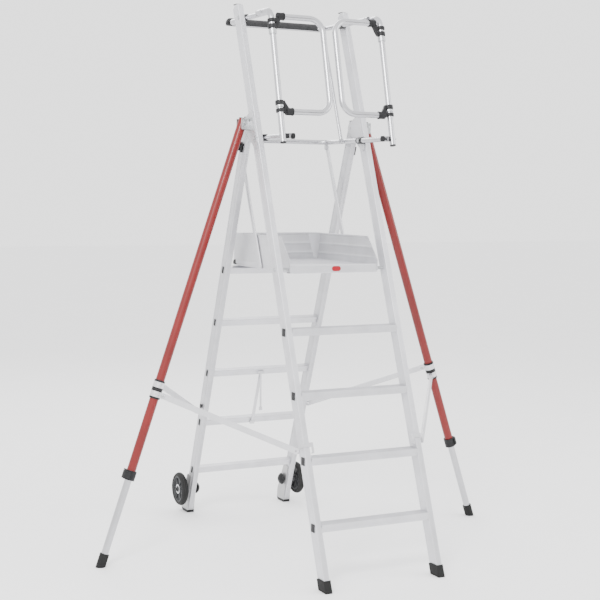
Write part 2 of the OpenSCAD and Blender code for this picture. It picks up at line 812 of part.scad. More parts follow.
// Draws flat work in the leaning plane of the gates; local y runs up the gate posts from height 0
module gate_plane() {
    translate([0, gate_y(0), 0]) rotate([90 - gate_lean, 0, 0]) children();
}

function up_gate(z) = z / cos(gate_lean);

// Bent tube of a gate, open towards its post
module gate_loop(edge) {
    top = up_gate(gate_top_z);
    low = up_gate(gate_bottom_z);
    gate_plane() path_tube([[gate_x - 40, top], [edge, top], [edge, low], [gate_x - 40, low]],
        60, gate_tube_d, 1.5);
}

// Hinge moulding: jaws round the gate post and sockets for the gate's tube
module gate_brackets() {
    jaw_r = gate_tube_d / 2 + 6;
    socket_r = gate_tube_d / 2 + 3;
    gate_plane() difference() {
        union() {
            for (z = [2249, 1925, 1884])
                translate([gate_x, up_gate(z) - 12, 0]) rotate([-90, 0, 0]) cylinder(r = jaw_r, h = 24);
            for (z = [gate_top_z, gate_bottom_z])
                translate([gate_x - 58, up_gate(z), 0]) rotate([0, 90, 0]) cylinder(r = socket_r, h = 32);
            translate([gate_x - 36, up_gate(2249) - 12, -8]) cube([20, 42, 16]);
            translate([gate_x - 36, up_gate(1884) - 12, -8]) cube([24, 66, 16]);
        }
        for (z = [gate_top_z, gate_bottom_z])
            translate([gate_x - 80, up_gate(z), 0]) rotate([0, 90, 0]) cylinder(d = gate_tube_d, h = 40);
        translate([gate_x, 0, 0]) rotate([-90, 0, 0]) cylinder(r = gate_tube_d / 2 + pin_gap, h = 3000);
        // room for the stop collar between the lower jaws
        translate([gate_x, up_gate(1884) + 12.5, 0]) rotate([-90, 0, 0])
            cylinder(r = gate_tube_d / 2 + 5, h = up_gate(1925) - up_gate(1884) - 25);
    }
}

module left_gate() color(bright) mirror([1, 0, 0]) gate_loop(-left_gate_edge_x);
module right_gate() color(bright) gate_loop(right_gate_edge_x);
module left_gate_brackets() color(black) mirror([1, 0, 0]) gate_brackets();
module right_gate_brackets() color(black) gate_brackets();

// ---- outriggers ----

module leg_side(s) {
    mirror([s < 0 ? 1 : 0, 0, 0]) children();
}

// Draws children with Z down the leg from its pivot and Y along the swing axis
module on_leg(s) {
    leg_side(s) frame_between(leg_pivot, foot_point(s), [-sin(leg_yaw(s)), cos(leg_yaw(s)), 0])
        children();
}

module ring(r_out, r_in, from, to) {
    translate([0, 0, from]) difference() {
        cylinder(r = r_out, h = to - from);
        translate([0, 0, -1]) cylinder(r = r_in, h = to - from + 2);
    }
}

// Outer tube of an outrigger
module leg_tube(s) {
    on_leg(s) difference() {
        ring(leg_d / 2, leg_d / 2 - 2.5, -16, clamp_dist);
        rotate([90, 0, 0]) cylinder(r = leg_pin_r + pin_gap, h = 100, center = true);
    }
}

module left_leg_tube() color(red) leg_tube(-1);
module right_leg_tube() color(red) leg_tube(1);

lever_pin_r = 3;
lever_at = leg_d / 2 + 12.5;
lever_turn = 60;

// End cap, spacer rings and the quick clamp
module leg_fittings(s) {
    r = leg_d / 2;
    on_leg(s) {
        translate([0, 0, -19]) cylinder(r = r, h = 3);
        ring(ring_r, r, collar_dist - 40, collar_dist - 20 - ring_half);
        ring(ring_r, r, collar_dist - 20 + ring_half, collar_dist + 20 - ring_half);
        ring(ring_r, r, collar_dist + 20 + ring_half, collar_dist + 40);
        ring(r + 6, r, clamp_dist - 26, clamp_dist);
        ring(r + 6, inner_leg_d / 2 + pin_gap, clamp_dist, clamp_dist + 14);
        rotate([0, 0, 180 - lever_turn]) translate([lever_at, 0, clamp_dist - 26]) {
            difference() {
                union() {
                    cylinder(r = 6, h = 5);
                    translate([-10, -6, 0]) cube([10, 12, 5]);
                }
                translate([-lever_at, 0, -1]) cylinder(r = r + 1, h = 20);
            }
            translate([0, 0, 40 - 5]) difference() {
                union() {
                    cylinder(r = 6, h = 5);
                    translate([-10, -6, 0]) cube([10, 12, 5]);
                }
                translate([-lever_at, 0, -1]) cylinder(r = inner_leg_d / 2 + 1, h = 20);
            }
            cylinder(r = lever_pin_r, h = 40);
        }
    }
}

module left_leg_fittings() color(black) leg_fittings(-1);
module right_leg_fittings() color(black) leg_fittings(1);

// Quick clamp lever: a curved shell with an eye round the clamp's pin
module leg_lever(s) {
    r = leg_d / 2 + 7.5;
    on_leg(s) translate([0, 0, clamp_dist - 20]) rotate([0, 0, 180 - lever_turn]) difference() {
        union() {
            difference() {
                cylinder(r = r + 5, h = 28);
                rotate([0, 0, 133]) translate([-60, 0, -1]) cube([120, 60, 30]);
                rotate([0, 0, 9]) translate([-60, -60, -1]) cube([120, 60, 30]);
            }
            translate([lever_at, 0, 1]) cylinder(r = 6, h = 26);
        }
        translate([0, 0, -1]) cylinder(r = r, h = 30);
        translate([lever_at, 0, -1]) cylinder(r = lever_pin_r + pin_gap, h = 30);
    }
}

module left_lever() color(black) leg_lever(-1);
module right_lever() color(black) leg_lever(1);

function leg_dir(s) = leg_vec(s) / leg_len(s);
function unit(v) = v / norm(v);
// k is -1 for the front brace and 1 for the rear brace
function collar_point(s, k) = leg_pivot + leg_dir(s) * (collar_dist - 20 * k);
function brace_end(k) = [brace_end_x, k < 0 ? front_y(brace_z) : rear_y(brace_z), brace_z];
function brace_aim(s, k) = unit(brace_end(k) - collar_point(s, k));
function brace_side(s, k) = unit(cross(brace_aim(s, k), leg_dir(s)));
function brace_out(s, k) = unit(cross(leg_dir(s), brace_side(s, k)));
function brace_root(s, k) = collar_point(s, k) + brace_off * brace_out(s, k);

// Clamp rings on the leg, each with a fork that holds a brace
module collars(s) {
    fork_t = 3;
    fork_in = brace_t / 2 + 0.5;
    leg_side(s) for (k = [-1, 1])
        frame_between(collar_point(s, k), collar_point(s, k) + leg_dir(s), brace_side(s, k)) difference() {
            union() {
                translate([0, 0, -ring_half]) cylinder(r = ring_r, h = 2 * ring_half);
                for (j = [-1, 1]) translate([0, j * (fork_in + fork_t / 2), 0]) {
                    translate([-brace_off, 0, 0]) rotate([90, 0, 0])
                        cylinder(r = 11, h = fork_t, center = true);
                    translate([-brace_off, -fork_t / 2, -11]) cube([brace_off, fork_t, 22]);
                }
                translate([-brace_off, 0, 0]) rotate([90, 0, 0])
                    cylinder(r = 4, h = 2 * (fork_in + fork_t) + 4, center = true);
            }
            cylinder(r = leg_d / 2, h = 100, center = true);
        }
}

module left_collars() color(bright) collars(-1);
module right_collars() color(bright) collars(1);

// Flat brace with a bored root and a slotted free end
module brace(s, k) {
    a = brace_root(s, k);
    b = brace_end(k);
    long = norm(b - a);
    leg_side(s) frame_between(a, b, brace_side(s, k)) rotate([90, 0, 0])
        translate([0, 0, -brace_t / 2]) difference() {
            linear_extrude(brace_t) bar_2d([0, 0], [0, long], brace_w);
            translate([0, 0, -1]) cylinder(r = 4 + pin_gap, h = 20);
            translate([0, long, -1]) cylinder(r = 5, h = 20);
        }
}

module left_front_brace() color(bright) brace(-1, -1);
module left_rear_brace() color(bright) brace(-1, 1);
module right_front_brace() color(bright) brace(1, -1);
module right_rear_brace() color(bright) brace(1, 1);

// Telescopic inner tube
module inner_leg(s) {
    on_leg(s) ring(inner_leg_d / 2, inner_leg_d / 2 - 2, clamp_dist - 200, leg_len(s) - 40);
}

module left_inner_leg() color(bright) inner_leg(-1);
module right_inner_leg() color(bright) inner_leg(1);

// Rubber foot, cut level with the floor
module leg_foot(s) {
    above(0) on_leg(s) difference() {
        translate([0, 0, leg_len(s) - 57]) cylinder(r = inner_leg_d / 2 + 5, h = 90);
        translate([0, 0, leg_len(s) - 70]) cylinder(r = inner_leg_d / 2, h = 30);
    }
}

module left_leg_foot() color(black) leg_foot(-1);
module right_leg_foot() color(black) leg_foot(1);

centred() left_stringer();
centred() right_stringer();
centred() treads();
centred() front_feet();
centred() front_plugs();
centred() left_post();
centred() right_post();
centred() hinge_plates();
centred() pivot_bolts();
centred() brace_hooks();
centred() leg_brackets();
centred() left_rear_rail();
centred() right_rear_rail();
centred() rear_rungs();
centred() rear_plugs();
centred() rear_shoes();
centred() brace_clips();
centred() axle_knobs();
centred() left_wheel();
centred() left_tyre();
centred() right_wheel();
centred() right_tyre();
centred() transport_latch();
centred() platform_deck();
centred() toe_boards();
centred() front_nosing();
centred() latch_arms();
centred() deck_hooks();
centred() upper_rail();
centred() foam_sleeve();
centred() upper_saddles();
centred() knee_rail();
centred() knee_saddles();
centred() gate_posts();
centred() gate_post_caps();
centred() stop_collars();
centred() link_tube();
centred() struts();
centred() left_knob();
centred() right_knob();
centred() left_gate();
centred() left_gate_brackets();
centred() right_gate();
centred() right_gate_brackets();
centred() left_leg_tube();
centred() left_leg_fittings();
centred() left_collars();
centred() left_lever();
centred() left_inner_leg();
centred() left_leg_foot();
centred() left_front_brace();
centred() left_rear_brace();
centred() right_leg_tube();
centred() right_leg_fittings();
centred() right_collars();
centred() right_lever();
centred() right_inner_leg();
centred() right_leg_foot();
centred() right_front_brace();
centred() right_rear_brace();
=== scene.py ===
"""Looks for a folding platform step ladder: materials, rounded mouldings, wheels, knobs and foam pad."""
import json
import math

import bmesh
import bpy
from mathutils import Matrix, Vector, noise

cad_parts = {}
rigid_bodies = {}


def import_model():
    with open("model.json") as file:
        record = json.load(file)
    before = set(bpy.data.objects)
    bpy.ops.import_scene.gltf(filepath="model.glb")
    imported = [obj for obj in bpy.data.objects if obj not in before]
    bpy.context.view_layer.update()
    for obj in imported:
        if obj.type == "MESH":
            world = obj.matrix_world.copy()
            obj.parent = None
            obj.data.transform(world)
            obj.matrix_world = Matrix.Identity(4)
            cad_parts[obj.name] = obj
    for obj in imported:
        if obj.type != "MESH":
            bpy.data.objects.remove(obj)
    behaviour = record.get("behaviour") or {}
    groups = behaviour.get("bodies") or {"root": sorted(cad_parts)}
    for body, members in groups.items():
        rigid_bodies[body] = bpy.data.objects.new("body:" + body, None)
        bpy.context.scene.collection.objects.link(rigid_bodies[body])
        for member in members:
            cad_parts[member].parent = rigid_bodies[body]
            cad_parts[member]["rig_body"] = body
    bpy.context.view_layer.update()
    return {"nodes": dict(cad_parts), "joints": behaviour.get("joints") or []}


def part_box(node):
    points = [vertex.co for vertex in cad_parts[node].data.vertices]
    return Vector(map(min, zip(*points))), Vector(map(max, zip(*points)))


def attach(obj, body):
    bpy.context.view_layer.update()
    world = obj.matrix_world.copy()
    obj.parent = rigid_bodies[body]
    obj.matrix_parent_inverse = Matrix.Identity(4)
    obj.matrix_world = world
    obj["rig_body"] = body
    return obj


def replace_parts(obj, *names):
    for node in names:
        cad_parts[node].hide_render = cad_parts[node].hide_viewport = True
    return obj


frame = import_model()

JOINTS = {joint["name"]: joint for joint in frame["joints"]}
LEAN = math.atan(0.3683)         # of the stringers and rear rails, from upright
GATE_LEAN = math.atan(0.237)     # of the gate posts
TUBE_R = 0.0125                  # gate posts and gate tubes
BOLT_STAND = 0.004               # how far a bolt's head stands out of what it holds
X_AXIS = Vector((1, 0, 0))


def pivot(name):
    """A joint's place at rest."""
    return Vector(JOINTS[name]["pos_m"])


def axis(name):
    """A joint's direction at rest."""
    return Vector(JOINTS[name]["axis"])


# ---------------------------------------------------------------- materials

def new_material(name, colour, roughness, metallic=0.0, **sockets):
    """A Principled material, its shader, its node tree and object coordinates to build texture on."""
    mat = bpy.data.materials.new(name)
    mat.use_nodes = True
    tree = mat.node_tree
    shader = tree.nodes["Principled BSDF"]
    shader.inputs["Base Color"].default_value = (*colour, 1)
    shader.inputs["Roughness"].default_value = roughness
    shader.inputs["Metallic"].default_value = metallic
    for socket, value in sockets.items():
        shader.inputs[socket.replace("_", " ")].default_value = value
    coords = tree.nodes.new("ShaderNodeTexCoord")
    return mat, shader, tree, coords.outputs["Object"]


def stretched(tree, coords, scale, tilt=0.0):
    """Coordinates turned about X by tilt, then scaled, for texture that runs along a bar."""
    turn = tree.nodes.new("ShaderNodeMapping")
    turn.inputs["Rotation"].default_value = (tilt, 0, 0)
    tree.links.new(coords, turn.inputs["Vector"])
    size = tree.nodes.new("ShaderNodeMapping")
    size.inputs["Scale"].default_value = scale
    tree.links.new(turn.outputs["Vector"], size.inputs["Vector"])
    return size.outputs["Vector"]


def noise_value(tree, coords, scale, detail):
    """Smooth noise from 0 to 1."""
    node = tree.nodes.new("ShaderNodeTexNoise")
    node.inputs["Scale"].default_value = scale
    node.inputs["Detail"].default_value = detail
    node.inputs["Roughness"].default_value = 0.6
    tree.links.new(coords, node.inputs["Vector"])
    return node.outputs["Fac"]


def blend_colours(tree, factor, low, high, start=0.35, end=0.65):
    """One colour below start, the other above end, and a mix between."""
    ramp = tree.nodes.new("ShaderNodeValToRGB")
    ramp.color_ramp.elements[0].position = start
    ramp.color_ramp.elements[0].color = (*low, 1)
    ramp.color_ramp.elements[1].position = end
    ramp.color_ramp.elements[1].color = (*high, 1)
    tree.links.new(factor, ramp.inputs["Fac"])
    return ramp.outputs["Color"]


def spread(tree, factor, low, high):
    """The factor's 0 to 1 spread from low to high."""
    node = tree.nodes.new("ShaderNodeMapRange")
    node.inputs["To Min"].default_value = low
    node.inputs["To Max"].default_value = high
    tree.links.new(factor, node.inputs["Value"])
    return node.outputs["Result"]


def shades(colour, darker, lighter):
    """A darker and a lighter version of a colour."""
    return tuple(darker * c for c in colour), tuple(lighter * c for c in colour)


def add_bump(tree, shader, height, strength, distance):
    """Joins a height to the shader's normal."""
    bump = tree.nodes.new("ShaderNodeBump")
    bump.inputs["Strength"].default_value = strength
    bump.inputs["Distance"].default_value = distance
    tree.links.new(height, bump.inputs["Height"])
    tree.links.new(bump.outputs["Normal"], shader.inputs["Normal"])


def aluminium(name, along, tilt=0.0, colour=(0.62, 0.62, 0.645), metallic=0.72, roughness=0.34):
    """Mill-finish aluminium with fine draw lines along one axis and soft cloudy tarnish."""
    mat, shader, tree, coords = new_material(name, colour, roughness, metallic)
    fine, coarse = 900.0, 7.0
    scale = tuple(coarse if index == along else fine for index in range(3))
    lines = noise_value(tree, stretched(tree, coords, scale, tilt), 1.0, 3.0)
    cloud = noise_value(tree, coords, 9.0, 5.0)
    tone = blend_colours(tree, cloud, *shades(colour, 0.93, 1.05))
    tree.links.new(tone, shader.inputs["Base Color"])
    tree.links.new(spread(tree, lines, roughness, roughness + 0.18), shader.inputs["Roughness"])
    add_bump(tree, shader, lines, 0.12, 0.0003)
    return mat


def moulded(name, colour, roughness=0.48, grain=1400.0, strength=0.25):
    """Moulded plastic with a fine spark-eroded grain and faint scuffs."""
    mat, shader, tree, coords = new_material(name, colour, roughness, 0.0, Specular_IOR_Level=0.3)
    pits = noise_value(tree, coords, grain, 2.0)
    scuffs = noise_value(tree, coords, 35.0, 6.0)
    tone = blend_colours(tree, scuffs, colour, tuple(1.5 * c + 0.002 for c in colour), 0.45, 0.8)
    tree.links.new(tone, shader.inputs["Base Color"])
    tree.links.new(spread(tree, scuffs, roughness - 0.08, roughness + 0.14), shader.inputs["Roughness"])
    add_bump(tree, shader, pits, strength, 0.0004)
    return mat


def powder_coat(name, colour):
    """Satin powder coat with slight orange peel and duller patches."""
    mat, shader, tree, coords = new_material(name, colour, 0.36, 0.0, Coat_Weight=0.15,
                                             Specular_IOR_Level=0.35)
    peel = noise_value(tree, coords, 420.0, 2.0)
    cloud = noise_value(tree, coords, 6.0, 5.0)
    tone = blend_colours(tree, cloud, *shades(colour, 0.86, 1.1))
    tree.links.new(tone, shader.inputs["Base Color"])
    tree.links.new(spread(tree, cloud, 0.3, 0.44), shader.inputs["Roughness"])
    add_bump(tree, shader, peel, 0.10, 0.0004)
    return mat


def zinc(name, colour=(0.50, 0.51, 0.52)):
    """Zinc-plated steel: mottled and a little darker than the aluminium."""
    mat, shader, tree, coords = new_material(name, colour, 0.34, 0.9)
    spangle = noise_value(tree, coords, 160.0, 4.0)
    tone = blend_colours(tree, spangle, *shades(colour, 0.82, 1.12))
    tree.links.new(tone, shader.inputs["Base Color"])
    tree.links.new(spread(tree, spangle, 0.26, 0.44), shader.inputs["Roughness"])
    add_bump(tree, shader, spangle, 0.06, 0.0003)
    return mat


def foam(name, colour):
    """Closed-cell foam: open pores all over a dull skin."""
    mat, shader, tree, coords = new_material(name, colour, 0.9, 0.0, Sheen_Weight=0.15)
    cells = tree.nodes.new("ShaderNodeTexVoronoi")
    cells.inputs["Scale"].default_value = 620.0
    tree.links.new(coords, cells.inputs["Vector"])
    cloud = noise_value(tree, coords, 40.0, 4.0)
    tone = blend_colours(tree, cloud, colour, tuple(1.7 * c for c in colour))
    tree.links.new(tone, shader.inputs["Base Color"])
    add_bump(tree, shader, cells.outputs["Distance"], 0.5, 0.0008)
    return mat


def floor_paint(name, colour):
    """Matt paint, faintly uneven."""
    mat, shader, tree, coords = new_material(name, colour, 0.7)
    cloud = noise_value(tree, coords, 1.5, 4.0)
    tone = blend_colours(tree, cloud, tuple(0.985 * c for c in colour), colour)
    tree.links.new(tone, shader.inputs["Base Color"])
    return mat


ALU_FRONT = aluminium("aluminium_front", 2, LEAN)
# The rear rails' aluminium is a darker copy of the front frame's: painted shade.
ALU_REAR_PAINTED_SHADE = aluminium("aluminium_rear_painted_shade", 2, -LEAN, (0.54, 0.54, 0.56))
ALU_CROSS = aluminium("aluminium_cross", 0)
ALU_PLAIN = aluminium("aluminium_plain", 1, 0.0, (0.60, 0.60, 0.62))
ALU_TUBE = aluminium("aluminium_tube", 1, 0.0, (0.50, 0.50, 0.52), 0.95, 0.20)
# A darker copy of the aluminium for the boot cheeks: painted shade.
ALU_PAINTED_SHADE = aluminium("aluminium_painted_shade", 0, 0.0, (0.42, 0.42, 0.425))
ZINC = zinc("zinc_steel")
BRIGHT = zinc("bright_ring", (0.68, 0.68, 0.70))
RED = powder_coat("red_powder_coat", (0.15, 0.0055, 0.005))
BADGE_RED = powder_coat("badge_red", (0.30, 0.003, 0.012))
BLACK = moulded("black_moulded", (0.006, 0.006, 0.007))
DARK = moulded("dark_moulded", (0.028, 0.029, 0.031))
RUBBER = moulded("rubber_moulded", (0.007, 0.007, 0.007), 0.75, 700.0, 0.4)
TYRE = moulded("tyre_moulded", (0.010, 0.010, 0.010), 0.65, 900.0, 0.35)
FOAM = foam("foam_skin", (0.010, 0.010, 0.011))

# ---------------------------------------------------------------- mesh tools

def linked(name, bm, material):
    """Turns a bmesh into an object of the scene."""
    mesh = bpy.data.meshes.new(name)
    bm.to_mesh(mesh)
    bm.free()
    mesh.materials.append(material)
    made = bpy.data.objects.new(name, mesh)
    bpy.context.scene.collection.objects.link(made)
    return made


def smooth_below(mesh, degrees):
    """Smooth shading, but for edges sharper than the angle."""
    for polygon in mesh.polygons:
        polygon.use_smooth = True
    mesh.set_sharp_from_angle(angle=math.radians(degrees))


def place(name, bm, material, body, smooth=40):
    """Links a piece, shades it smooth up to an angle, and makes it ride on a body."""
    bmesh.ops.recalc_face_normals(bm, faces=bm.faces)
    piece = linked(name, bm, material)
    smooth_below(piece.data, smooth)
    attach(piece, body)
    return piece


def turned(direction, origin):
    """A matrix whose Z runs along direction from origin."""
    return Matrix.Translation(origin) @ direction.normalized().to_track_quat("Z", "Y").to_matrix().to_4x4()


def lathe(bm, profile, matrix, steps=64):
    """Adds the closed profile of (radius, height) points, spun about the matrix's Z."""
    rings = []
    for index in range(steps):
        angle = 2 * math.pi * index / steps
        ring = [bm.verts.new(matrix @ Vector((r * math.cos(angle), r * math.sin(angle), h)))
                for r, h in profile]
        rings.append(ring)
    count = len(profile)
    for index in range(steps):
        here, there = rings[index], rings[(index + 1) % steps]
        for j in range(count):
            k = (j + 1) % count
            bm.faces.new((here[j], there[j], there[k], here[k]))
    bmesh.ops.remove_doubles(bm, verts=[v for ring in rings for v in ring], dist=1e-6)


def rounded_profile(corners, radius, steps=4):
    """The closed outline through the corners, each rounded by an arc of about the radius."""
    points = []
    count = len(corners)
    for index in range(count):
        here = Vector(corners[index])
        before = Vector(corners[index - 1])
        after = Vector(corners[(index + 1) % count])
        reach = min(radius, 0.45 * (before - here).length, 0.45 * (after - here).length)
        start = here + (before - here).normalized() * reach
        end = here + (after - here).normalized() * reach
        for step in range(steps + 1):
            t = step / steps
            points.append(start * (1 - t) ** 2 + here * 2 * t * (1 - t) + end * t ** 2)
    return [tuple(p) for p in points]


def ring_profile(inner, outer, low, high, radius):
    """Section of a ring or, with inner 0, of a disc."""
    return rounded_profile([(inner, low), (outer, low), (outer, high), (inner, high)], radius)


def skin(bm, rings):
    """Adds the surface through rings of as many corners each, closed at both ends."""
    count = len(rings[0])
    for here, there in zip(rings, rings[1:]):
        for j in range(count):
            k = (j + 1) % count
            bm.faces.new((here[j], here[k], there[k], there[j]))
    bm.faces.new(rings[0][::-1])
    bm.faces.new(rings[-1])


def prism(bm, outline, low, high, matrix, bevel, segments=2):
    """Adds an extruded outline, with the edges of both ends rounded."""
    bottom = [bm.verts.new(matrix @ Vector((x, y, low))) for x, y in outline]
    top = [bm.verts.new(matrix @ Vector((x, y, high))) for x, y in outline]
    ends = [bm.faces.new(bottom[::-1]), bm.faces.new(top)]
    count = len(outline)
    for i in range(count):
        j = (i + 1) % count
        bm.faces.new((bottom[i], bottom[j], top[j], top[i]))
    edges = list(dict.fromkeys(e for f in ends for e in f.edges))
    bmesh.ops.bevel(bm, geom=edges, offset=bevel, segments=segments, profile=0.6,
                    affect="EDGES", clamp_overlap=True)


def block(bm, low, high, matrix, bevel):
    """Adds a box with all its edges rounded, or sharp where bevel is 0."""
    centre = (Vector(low) + Vector(high)) / 2
    size = Vector(high) - Vector(low)
    shape = matrix @ Matrix.Translation(centre) @ Matrix.Diagonal((*size, 1))
    made = bmesh.ops.create_cube(bm, size=1, matrix=shape)
    if bevel:
        edges = list(dict.fromkeys(e for v in made["verts"] for e in v.link_edges))
        bmesh.ops.bevel(bm, geom=edges, offset=bevel, segments=2, profile=0.6, affect="EDGES",
                        clamp_overlap=True)


def hex_head(bm, matrix, across, height):
    """Adds a chamfered hexagon bolt head on a washer."""
    outline = [(across / math.sqrt(3) * math.cos(math.radians(60 * i)),
                across / math.sqrt(3) * math.sin(math.radians(60 * i))) for i in range(6)]
    prism(bm, outline, 0.25 * height, height, matrix, 0.12 * height)
    lathe(bm, ring_profile(0, 0.72 * across, 0, 0.25 * height, 0.0003), matrix, 32)


def node_copy(node):
    """A CAD node's mesh with its flat faces whole again."""
    bm = bmesh.new()
    bm.from_mesh(frame["nodes"][node].data)
    bmesh.ops.remove_doubles(bm, verts=bm.verts, dist=2e-6)
    bmesh.ops.dissolve_limit(bm, angle_limit=math.radians(0.8), verts=bm.verts, edges=bm.edges)
    return bm


def round_edges(piece, width, segments, degrees):
    """Rounds the edges sharper than the angle."""
    edge = piece.modifiers.new("bevel", "BEVEL")
    edge.width = width
    edge.segments = segments
    edge.limit_method = "ANGLE"
    edge.angle_limit = math.radians(degrees)


def refined(node, material, bevel, segments=2):
    """Stands for a CAD node with a copy whose hard edges are rounded."""
    body = frame["nodes"][node]["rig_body"]
    piece = place(node + "_rounded", node_copy(node), material, body)
    round_edges(piece, bevel, segments, 32)
    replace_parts(piece, node)


def dress(material, *nodes):
    """Gives carried-over CAD nodes a material and smooth shading by angle."""
    for node in nodes:
        source = frame["nodes"][node]
        source.data.materials.clear()
        source.data.materials.append(material)
        smooth_below(source.data, 30)


# ---------------------------------------------------------------- frames and rails

def dress_frames():
    """Metal of the frames, rails and outriggers."""
    dress(ALU_FRONT, "left_stringer", "right_stringer", "left_post", "right_post")
    dress(ALU_REAR_PAINTED_SHADE, "left_rear_rail", "right_rear_rail")
    dress(ALU_CROSS, "treads", "rear_rungs", "front_nosing", "platform_deck")
    dress(ALU_TUBE, "upper_rail", "knee_rail", "left_gate", "right_gate", "link_tube",
          "left_inner_leg", "right_inner_leg")
    refined("hinge_plates", ALU_PLAIN, 0.0012)
    refined("latch_arms", ALU_PLAIN, 0.0008)
    refined("struts", ALU_PLAIN, 0.0012)
    refined("transport_latch", ALU_PLAIN, 0.0010)
    refined("brace_hooks", ALU_PLAIN, 0.0008)
    refined("leg_brackets", ZINC, 0.0008)
    refined("stop_collars", ZINC, 0.0010)
    for side in ("left", "right"):
        refined(side + "_collars", BRIGHT, 0.0010)
        refined(side + "_front_brace", ALU_PLAIN, 0.0015)
        refined(side + "_rear_brace", ALU_PLAIN, 0.0015)
        dress(RED, side + "_leg_tube")


def round_mouldings():
    """Plastic and rubber parts kept in their CAD shape, with rounded edges."""
    refined("front_plugs", BLACK, 0.0008)
    refined("rear_plugs", BLACK, 0.0008)
    refined("front_feet", RUBBER, 0.0015)
    refined("brace_clips", BLACK, 0.0010)
    refined("deck_hooks", BLACK, 0.0010)
    refined("upper_saddles", BLACK, 0.0015)
    refined("knee_saddles", BLACK, 0.0015)
    refined("gate_post_caps", BLACK, 0.0015)
    for side in ("left", "right"):
        refined(side + "_leg_fittings", BLACK, 0.0010)
        refined(side + "_lever", BLACK, 0.0015, 3)
        refined(side + "_leg_foot", RUBBER, 0.0020, 3)


def swept_tube(bm, points, radius, steps=24):
    """Adds a tube skin along points, each ring square to the path."""
    rings = []
    count = len(points)
    normal = None
    for index, point in enumerate(points):
        before = points[max(index - 1, 0)]
        after = points[min(index + 1, count - 1)]
        along = (after - before).normalized()
        if normal is None:
            normal = along.orthogonal().normalized()
        normal = (normal - along * normal.dot(along)).normalized()
        side = along.cross(normal)
        rings.append([bm.verts.new(point + radius * (math.cos(a) * normal + math.sin(a) * side))
                      for a in (2 * math.pi * k / steps for k in range(steps))])
    skin(bm, rings)


def gate_posts():
    """Each gate post is one bent tube, closed flat at both ends."""
    bend = 0.048
    top_z = pivot("upper_rail_fold").z
    low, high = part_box("gate_posts")
    hinge = pivot("left_gate_swing")
    slope = math.tan(GATE_LEAN)
    corner_y = hinge.y + slope * (top_z - hinge.z)
    bm = bmesh.new()
    for side in (-1, 1):
        x = side * abs(hinge.x)
        turn = math.pi / 2 - GATE_LEAN
        trim = bend * math.tan(turn / 2)
        centre = Vector((x, corner_y + trim, top_z - bend))
        arc = [centre + bend * Vector((0, -math.sin(a), math.cos(a)))
               for a in (turn * k / 12 for k in range(13))]
        foot_z = low.z + TUBE_R * math.sin(GATE_LEAN)
        foot = Vector((x, corner_y + slope * (foot_z - top_z), foot_z))
        swept_tube(bm, [Vector((x, high.y, top_z))] + arc + [foot], TUBE_R)
    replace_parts(place("gate_post_tubes", bm, ALU_TUBE, "gate_frame"), "gate_posts")


def post_frame(side, z):
    """Origin on a gate post's axis at height z; X towards the gate, Y up the post, Z across."""
    hinge = pivot("left_gate_swing")
    origin = Vector((side * abs(hinge.x), hinge.y + math.tan(GATE_LEAN) * (z - hinge.z), z))
    inward = Vector((-side, 0, 0))
    up = Vector((0, math.sin(GATE_LEAN), math.cos(GATE_LEAN)))
    matrix = Matrix((inward, up, inward.cross(up))).transposed().to_4x4()
    return Matrix.Translation(origin) @ matrix


def clamp_web(low, high, way):
    """Outline of a web between the jaws, with its slanted side above (1) or below (-1) the socket."""
    inner, jaw, shoulder, socket = 0.0178, 0.0210, 0.0300, 0.0400
    half, slant = 0.0125, 0.018
    return [(inner, low), (jaw, low), (shoulder, low + slant if way > 0 else -half - 0.001),
            (socket, -half), (socket, half), (shoulder, half + 0.001 if way > 0 else high - slant),
            (jaw, high), (inner, high)]


def gate_clamps(side, name):
    """Mouldings with two jaws on the post, a slanted web and a socket for the gate's tube."""
    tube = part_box(name + "_gate")
    rise = TUBE_R * math.cos(GATE_LEAN)
    clamps = ((tube[1].z - rise, (-0.0545, -0.0370), (-0.0277, -0.0134), 1),
              (tube[0].z + rise, (-0.0040, 0.0103), (0.0267, 0.0452), -1))
    half, jaw_r, socket_r, bore = 0.0085, 0.0180, 0.0155, TUBE_R + 0.00002
    start, stop, end = 0.026, 0.040, 0.058
    socket = [(0.0, start), (socket_r, start), (socket_r, end), (bore, end), (bore, stop), (0.0, stop)]
    up_post = Matrix.Rotation(math.radians(-90), 4, "X")
    to_gate = Matrix.Rotation(math.radians(90), 4, "Y")
    bm = bmesh.new()
    screws = bmesh.new()
    for z, low_jaw, high_jaw, way in clamps:
        base = post_frame(side, z)
        for low, high in (low_jaw, high_jaw):
            lathe(bm, ring_profile(TUBE_R + 0.00006, jaw_r, low, high, 0.0022), base @ up_post, 48)
            block(bm, (0.0145, low + 0.0015, -half), (0.0210, high - 0.0015, half), base, 0.0015)
        prism(bm, clamp_web(low_jaw[0], high_jaw[1], way), -half, half, base, 0.0022, 3)
        lathe(bm, rounded_profile(socket, 0.0012), base @ to_gate, 48)
        lathe(bm, ring_profile(0.0154, 0.0166, 0.0525, 0.0575, 0.0005), base @ to_gate, 48)
        for turn in (0, math.pi):
            face = Matrix.Rotation(turn, 4, "X") @ Matrix.Translation((0.032, 0, half - 0.0001))
            hex_head(screws, base @ face, 0.008, 0.0035)
    body = name + "_gate_set"
    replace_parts(place(name + "_gate_clamps", bm, BLACK, body), name + "_gate_brackets")
    place(name + "_clamp_screws", screws, ZINC, body)


# ---------------------------------------------------------------- wheels and knobs

def tread_profile(radius, rim, half):
    """Section of a tyre: an elliptic crown with three grooves, down to the rim on both sides."""
    tread = [(rim, half - 0.003), (rim, -half + 0.003), (rim + 0.003, -half + 0.0006)]
    for step in range(65):
        z = (step / 32 - 1) * 0.0162
        reach = radius - 0.024 + 0.0235 * math.sqrt(1 - (z / 0.0185) ** 2)
        in_groove = min(abs(z - groove) for groove in (-0.0085, 0.0, 0.0085)) < 0.0011
        tread.append((reach - (0.0016 if in_groove else 0.0), z))
    return tread + [(rim + 0.003, half - 0.0006)]


